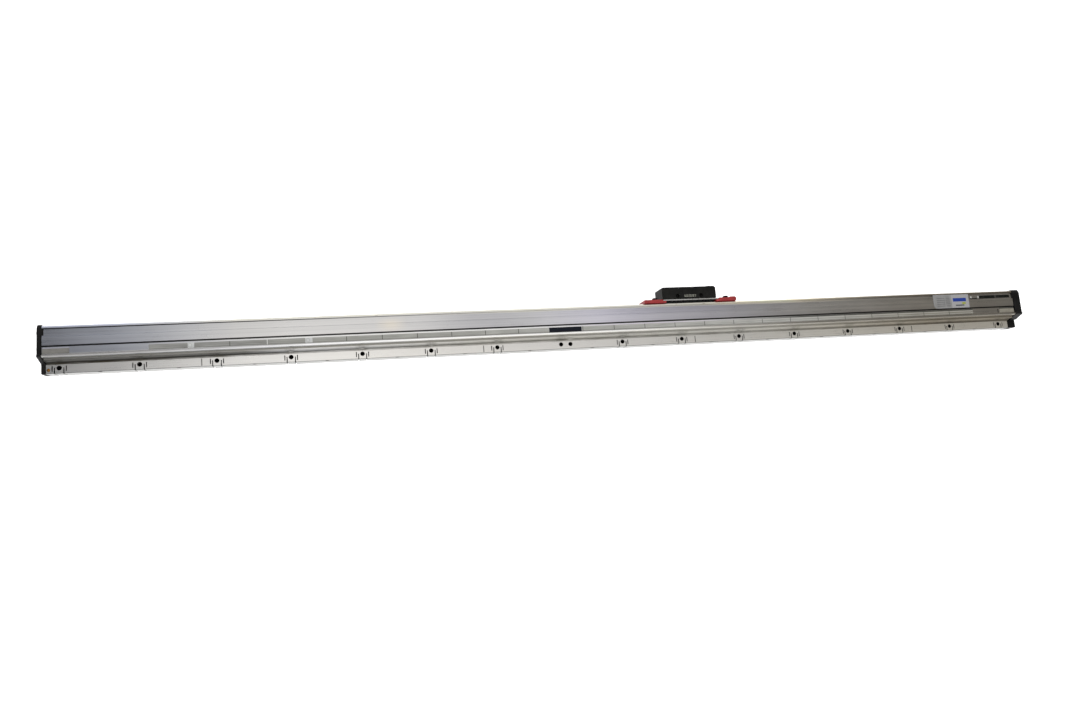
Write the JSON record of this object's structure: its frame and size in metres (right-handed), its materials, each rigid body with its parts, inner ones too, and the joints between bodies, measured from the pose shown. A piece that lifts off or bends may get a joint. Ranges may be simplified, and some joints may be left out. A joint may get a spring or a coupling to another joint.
{
  "type": "sealed linear encoder",
  "caption": "Long sealed linear encoder: aluminium scale housing with a slotted mounting foot, black end caps and a sliding black scanning head on red shipping brackets.",
  "frame": {"origin": "the thermal fixed point of the mounting foot, midway between its two centre holes, on the rear mounting face", "axes": "+X along the rail, to the right as seen from the front; +Y up the profile from the foot to the scanning head; +Z out of the front face"},
  "size_m": [1.5634, 0.0898, 0.037],
  "materials": {
    "anodised": "natural anodised, drawn lines along the extrusion",
    "cap_black": "moulded black",
    "head_black": "satin black",
    "insulator": "moulded black",
    "bracket_red": "moulded red",
    "rubber": "matt",
    "optical_glass": "polished",
    "brass": "tarnished",
    "black_steel": "blackened",
    "steel": "machined",
    "tape": "matt grey tape",
    "label_black": "printed label",
    "label_white": "printed label",
    "circuit": "circuit board"
  },
  "bodies": {
    "scale_unit": {"housing": "anodised", "mounting_foot": "anodised", "earth_pin": "brass", "glass_scale": "optical_glass", "sealing_lip_front": "rubber", "sealing_lip_rear": "rubber", "end_cap_left": "cap_black", "gasket_left": "rubber", "air_plug_left": "steel", "end_cap_right": "cap_black", "gasket_right": "rubber", "air_plug_right": "steel", "position_label": "label_black", "rating_label": "label_white", "end_sticker_left": "label_white", "end_sticker_right": "label_white", "cap_screw_left_1": "steel", "cap_screw_left_2": "steel", "cap_screw_left_3": "steel", "cap_screw_left_4": "steel", "cap_screw_right_1": "steel", "cap_screw_right_2": "steel", "cap_screw_right_3": "steel", "cap_screw_right_4": "steel", "marker_tape_1": "tape", "marker_tape_2": "tape", "marker_tape_3": "tape", "marker_tape_4": "tape", "marker_sticker_1": "label_white", "marker_sticker_2": "label_white"},
    "head": {"head_body": "head_black", "head_base_plate": "steel", "neck_block": "black_steel", "blade": "steel", "connector_cover": "head_black", "connector_socket": "steel", "connector_insulator": "insulator", "cover_screw_1": "black_steel", "cover_screw_2": "black_steel", "plate_screw_1": "steel", "plate_screw_2": "steel", "shipping_bracket_left": "bracket_red", "shipping_bracket_right": "bracket_red", "bracket_screw_left": "black_steel", "bracket_screw_right": "black_steel", "carriage_frame": "anodised", "coupling_rod": "steel", "condenser_lens": "optical_glass", "lamp_holder": "insulator", "scanning_reticle": "optical_glass", "sensor_board": "circuit", "edge_axle_1": "steel", "edge_axle_2": "steel", "face_axle_1": "steel", "face_axle_2": "steel"},
    "face_roller_1": {"face_roller_1": "steel"},
    "face_roller_2": {"face_roller_2": "steel"},
    "face_roller_3": {"face_roller_3": "steel"},
    "edge_roller_1": {"edge_roller_1": "steel"},
    "edge_roller_2": {"edge_roller_2": "steel"}
  },
  "joints": [
    {"name": "head_slide", "type": "slide", "parent": "scale_unit", "child": "head", "axis": [1, 0, 0], "range_m": [-0.85, 0.528]},
    {"name": "face_roller_1_spin", "type": "hinge", "parent": "head", "child": "face_roller_1", "pos_m": [0.1738, 0.0228, 0.01755], "axis": [0, 1, 0], "continuous": true},
    {"name": "face_roller_2_spin", "type": "hinge", "parent": "head", "child": "face_roller_2", "pos_m": [0.2378, 0.0293, 0.01755], "axis": [0, 1, 0], "continuous": true},
    {"name": "face_roller_3_spin", "type": "hinge", "parent": "head", "child": "face_roller_3", "pos_m": [0.2378, 0.0198, 0.01755], "axis": [0, 1, 0], "continuous": true},
    {"name": "edge_roller_1_spin", "type": "hinge", "parent": "head", "child": "edge_roller_1", "pos_m": [0.1878, 0.03335, 0.013], "axis": [0, 0, 1], "continuous": true},
    {"name": "edge_roller_2_spin", "type": "hinge", "parent": "head", "child": "edge_roller_2", "pos_m": [0.2238, 0.03335, 0.013], "axis": [0, 0, 1], "continuous": true}
  ],
  "couplings": [
    {"joint": "face_roller_1_spin", "follows": "head_slide", "rad_per_m": 333.33},
    {"joint": "face_roller_2_spin", "follows": "head_slide", "rad_per_m": 333.33},
    {"joint": "face_roller_3_spin", "follows": "head_slide", "rad_per_m": 333.33},
    {"joint": "edge_roller_1_spin", "follows": "head_slide", "rad_per_m": -333.33},
    {"joint": "edge_roller_2_spin", "follows": "head_slide", "rad_per_m": -333.33}
  ]
}
